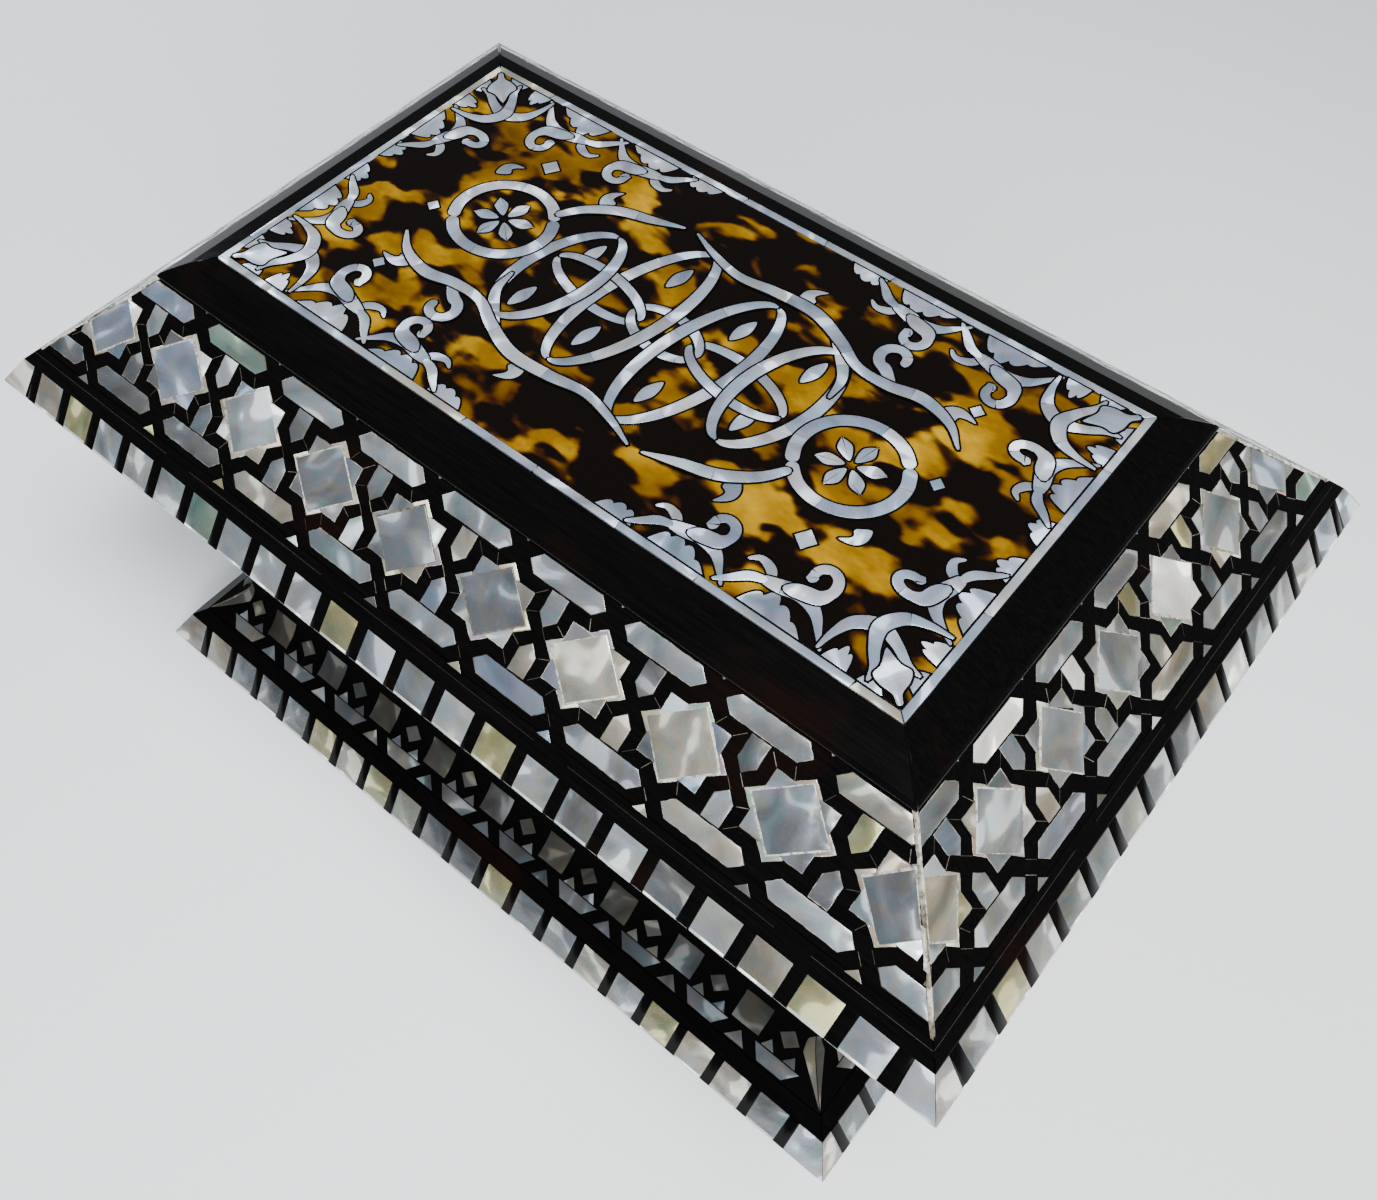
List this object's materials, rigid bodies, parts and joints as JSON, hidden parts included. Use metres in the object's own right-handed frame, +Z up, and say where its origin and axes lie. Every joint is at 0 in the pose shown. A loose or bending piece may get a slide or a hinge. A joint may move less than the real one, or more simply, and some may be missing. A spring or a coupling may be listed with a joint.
{
  "type": "lidded quran box",
  "caption": "Lidded box for keeping a Quran: overhanging hipped lid with a raised flat panel, inlaid faces, lined inside and flared plinth; the lid swings up on hinges along the back.",
  "frame": {"origin": "middle of the footprint, at the level of the surface the box stands on", "axes": "+Z up; +X towards the right-hand short side; -Y towards the front long side, so the hinges are on the +Y side"},
  "size_m": [0.4186, 0.2794, 0.2357],
  "materials": {
    "cedar": "oiled, matt, hidden carcase timber",
    "ebony": "black, polished, fine scratches",
    "inlay": "polished pearl plates in black strapwork",
    "pearl": "polished, faintly iridescent",
    "tortoiseshell": "amber with dark blotches, high polish",
    "velvet": "short dark red pile",
    "brass": "aged, softly polished"
  },
  "bodies": {
    "case": {"bottom_board": "cedar", "wall_front": "cedar", "wall_back": "cedar", "wall_left": "cedar", "wall_right": "cedar", "wall_inlay_front": "inlay", "wall_inlay_back": "inlay", "wall_inlay_left": "inlay", "wall_inlay_right": "inlay", "plinth_cove_front": "inlay", "plinth_cove_back": "inlay", "plinth_cove_left": "inlay", "plinth_cove_right": "inlay", "plinth_rail_front": "ebony", "plinth_rail_back": "ebony", "plinth_rail_left": "ebony", "plinth_rail_right": "ebony", "plinth_band_front": "inlay", "plinth_band_back": "inlay", "plinth_band_left": "inlay", "plinth_band_right": "inlay", "floor_lining": "velvet", "wall_lining_front": "velvet", "wall_lining_back": "velvet", "wall_lining_left": "velvet", "wall_lining_right": "velvet", "hinge_leaf_case_left": "brass", "hinge_leaf_case_right": "brass", "hinge_pin_left": "brass", "hinge_pin_right": "brass"},
    "lid": {"tortoiseshell_panel": "tortoiseshell", "pearl_fillet_front": "pearl", "pearl_fillet_back": "pearl", "pearl_fillet_left": "pearl", "pearl_fillet_right": "pearl", "lid_top_board": "cedar", "lid_lining": "velvet", "top_frame_front": "ebony", "top_frame_back": "ebony", "top_frame_left": "ebony", "top_frame_right": "ebony", "slope_inlay_front": "inlay", "slope_inlay_back": "inlay", "slope_inlay_left": "inlay", "slope_inlay_right": "inlay", "slope_board_front": "cedar", "slope_board_back": "cedar", "slope_board_left": "cedar", "slope_board_right": "cedar", "rim_moulding_front": "inlay", "rim_moulding_back": "inlay", "rim_moulding_left": "inlay", "rim_moulding_right": "inlay", "soffit_board_front": "cedar", "soffit_board_back": "cedar", "soffit_board_left": "cedar", "soffit_board_right": "cedar", "hinge_leaf_lid_left": "brass", "hinge_leaf_lid_right": "brass"}
  },
  "joints": [
    {"name": "lid_hinge", "type": "hinge", "parent": "case", "child": "lid", "pos_m": [0, 0.0976, 0.178], "axis": [-1, 0, 0], "range_deg": [0, 97]}
  ]
}
